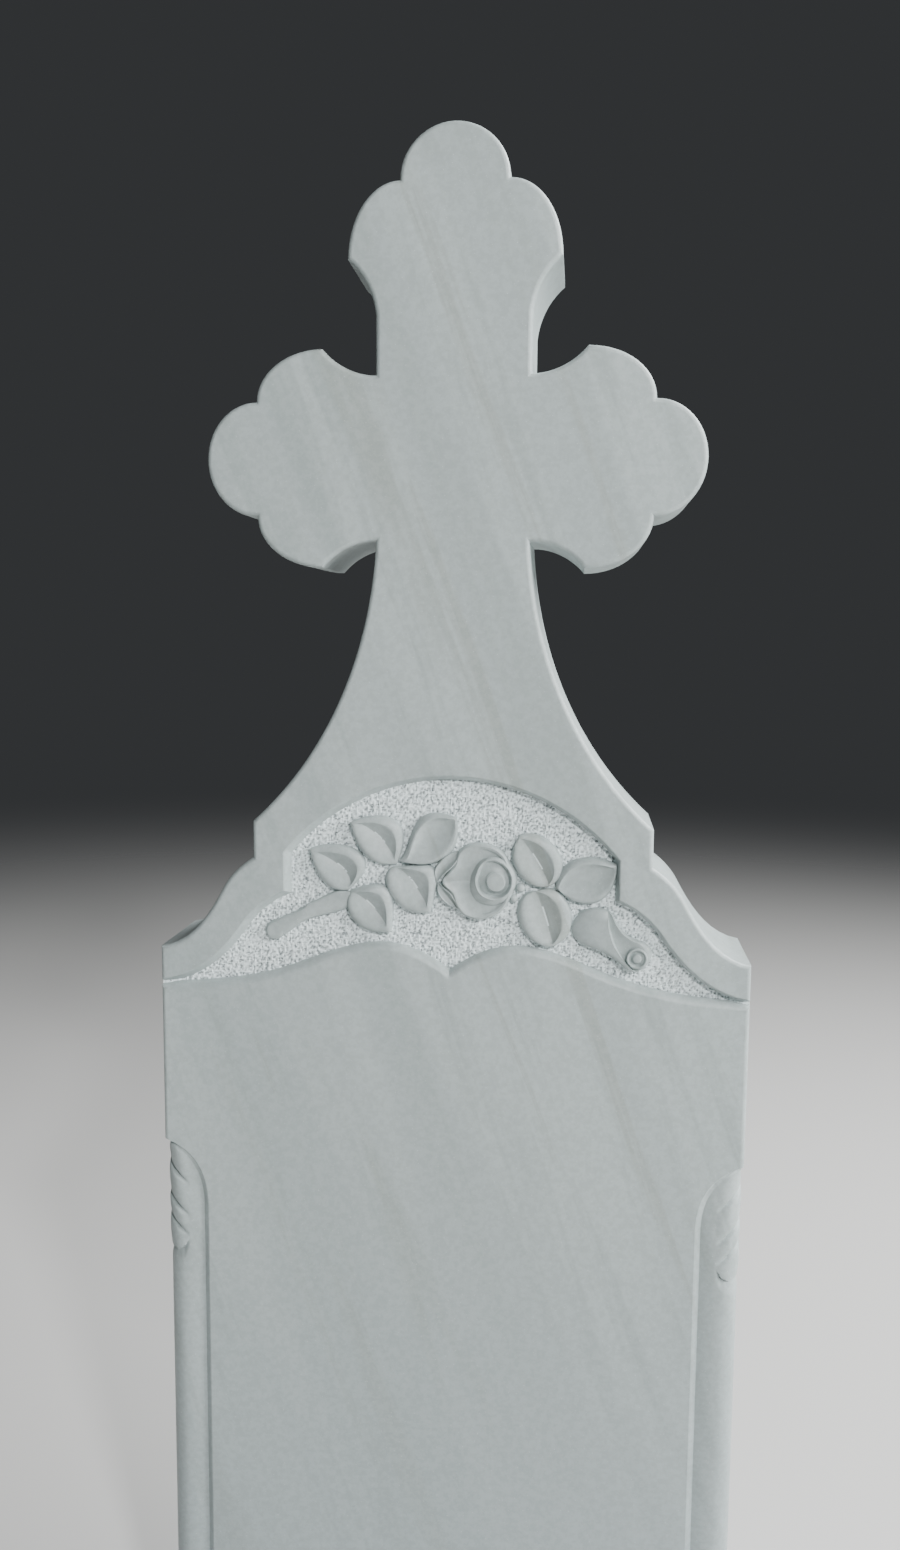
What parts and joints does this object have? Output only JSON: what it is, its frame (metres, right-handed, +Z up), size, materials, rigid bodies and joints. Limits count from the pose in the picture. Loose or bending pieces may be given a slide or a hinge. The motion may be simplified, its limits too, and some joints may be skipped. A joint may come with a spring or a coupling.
{
  "type": "cross headstone",
  "caption": "Upright marble grave marker: a trefoil-ended cross flaring into a shouldered slab, with a carved rose branch in a sunken field and round corner columns.",
  "frame": {"origin": "middle of the flat underside", "axes": "+X to the viewer's right, -Y out of the carved front, +Z up to the top of the cross"},
  "size_m": [0.496, 0.1, 1.4],
  "materials": {
    "marble": "honed faces with a punched ground behind the carving"
  },
  "bodies": {
    "root": {"headstone": "marble"}
  },
  "joints": []
}
